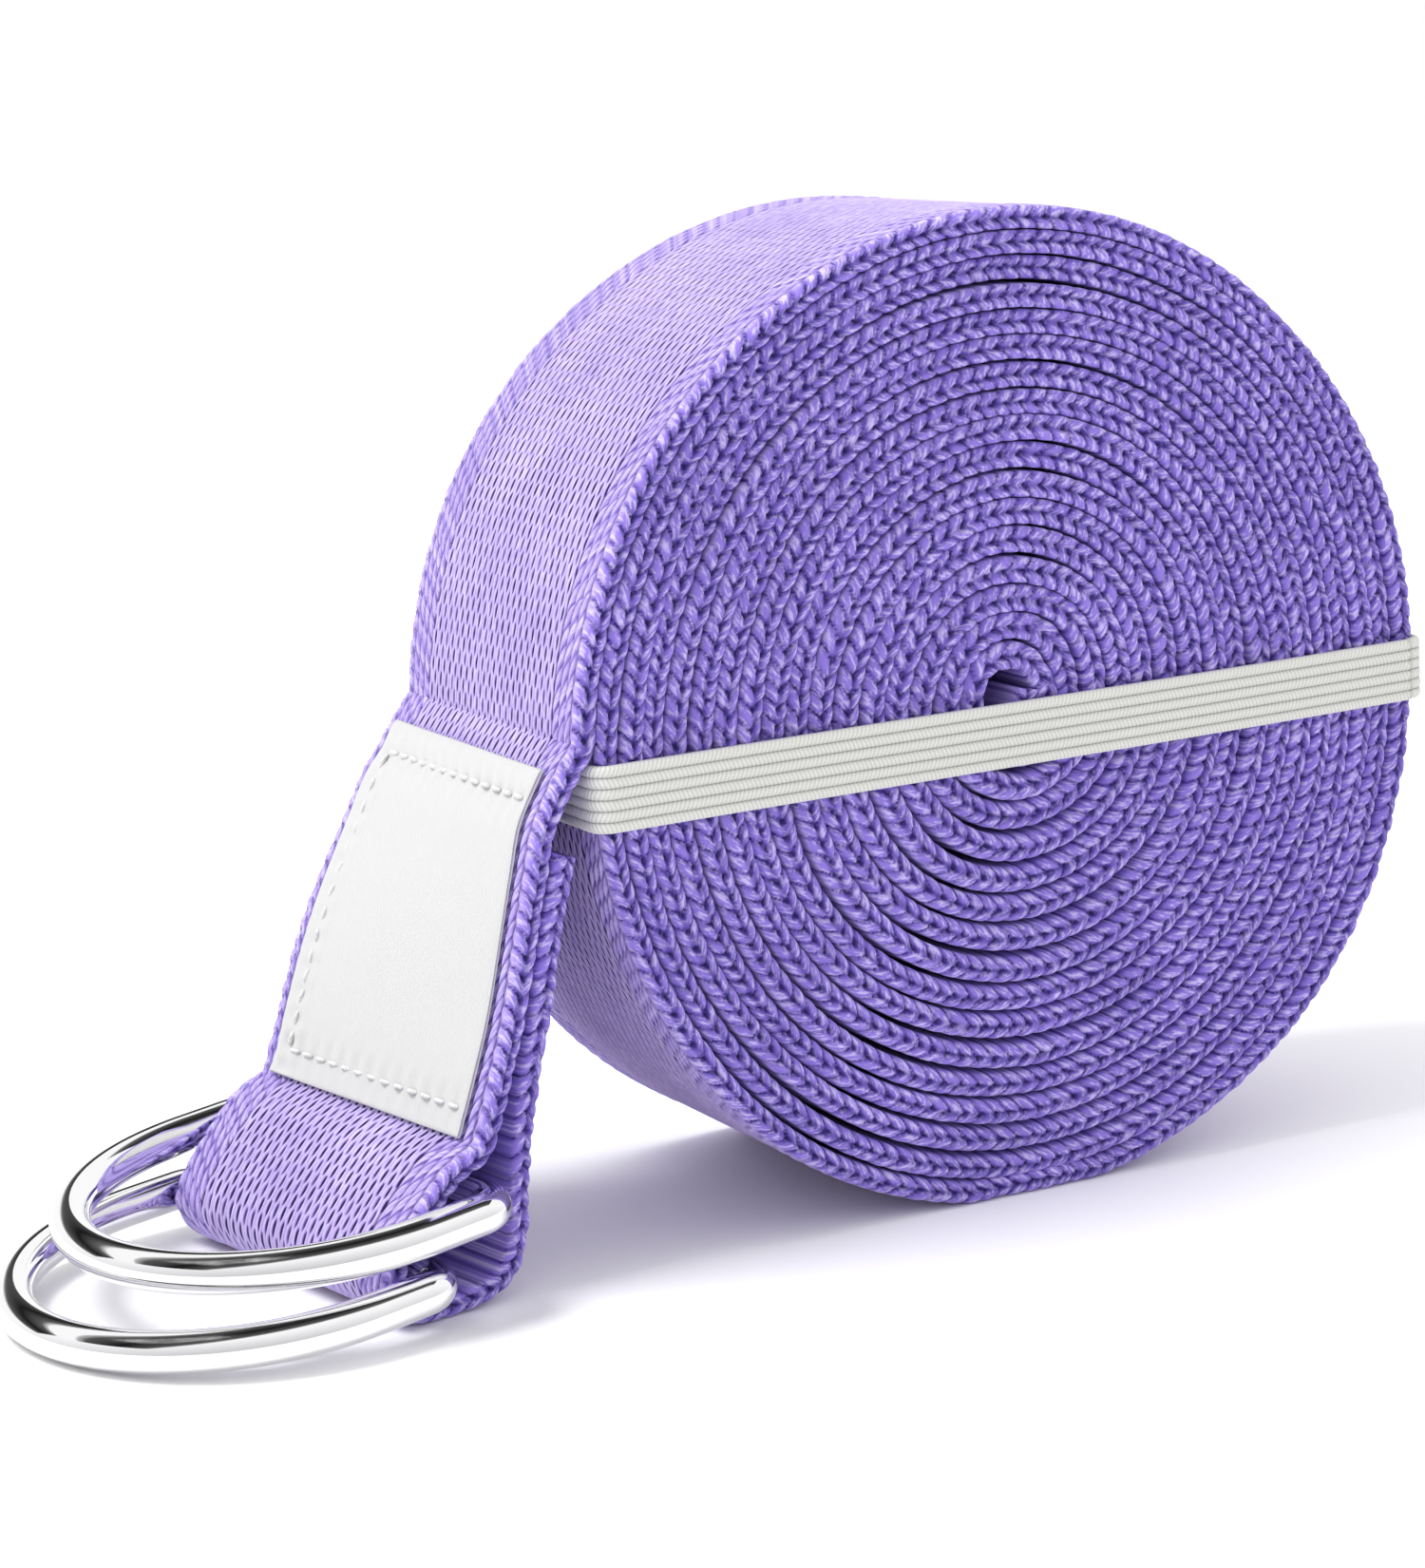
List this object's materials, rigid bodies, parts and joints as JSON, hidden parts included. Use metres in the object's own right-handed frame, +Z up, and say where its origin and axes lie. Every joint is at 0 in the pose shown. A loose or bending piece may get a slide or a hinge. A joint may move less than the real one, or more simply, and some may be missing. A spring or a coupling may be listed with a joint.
{
  "type": "stretching strap",
  "caption": "Long webbing strap for stretching, rolled up on its edge, with D-rings in the sewn loop of its free end, a blank woven label and an elastic band that keeps the roll closed.",
  "frame": {"origin": "on the floor under the roll's axis, in the middle of the webbing's width", "axes": "+Y along the roll's axis, +Z up, and the sewn end with the rings lies towards -X"},
  "size_m": [0.1524, 0.0497, 0.0988],
  "materials": {
    "webbing": "woven cotton webbing, matt",
    "satin": "woven satin, soft sheen",
    "white_thread": "sewing thread",
    "purple_thread": "sewing thread",
    "ring_chrome": "polished plating",
    "elastic": "braided elastic, matt"
  },
  "bodies": {
    "roll": {"strap_roll": "webbing"},
    "tail": {"strap_tail": "webbing", "label": "satin", "label_thread_top": "white_thread", "label_thread_bottom": "white_thread", "label_thread_side": "white_thread", "loop_thread_upper": "purple_thread", "loop_thread_lower": "purple_thread"},
    "upper_ring": {"ring_upper": "ring_chrome"},
    "lower_ring": {"ring_lower": "ring_chrome"},
    "band": {"elastic_band": "elastic", "band_thread": "elastic"}
  },
  "joints": [
    {"name": "tail_flex", "type": "hinge", "parent": "roll", "child": "tail", "pos_m": [-0.04857, 0, 0.05173], "axis": [0, 1, 0], "range_deg": [0, 50]},
    {"name": "upper_ring_swing", "type": "hinge", "parent": "tail", "child": "upper_ring", "pos_m": [-0.06459, -0.0001, 0.01067], "axis": [-0.1736, 0.9848, 0], "range_deg": [0, 100]},
    {"name": "lower_ring_swing", "type": "hinge", "parent": "tail", "child": "lower_ring", "pos_m": [-0.07099, -0.00123, 0.00457], "axis": [-0.1736, 0.9848, 0], "range_deg": [-80, 0]},
    {"name": "band_off", "type": "slide", "parent": "roll", "child": "band", "axis": [0.0175, 0, -0.9998], "range_m": [0, 0.058]}
  ]
}
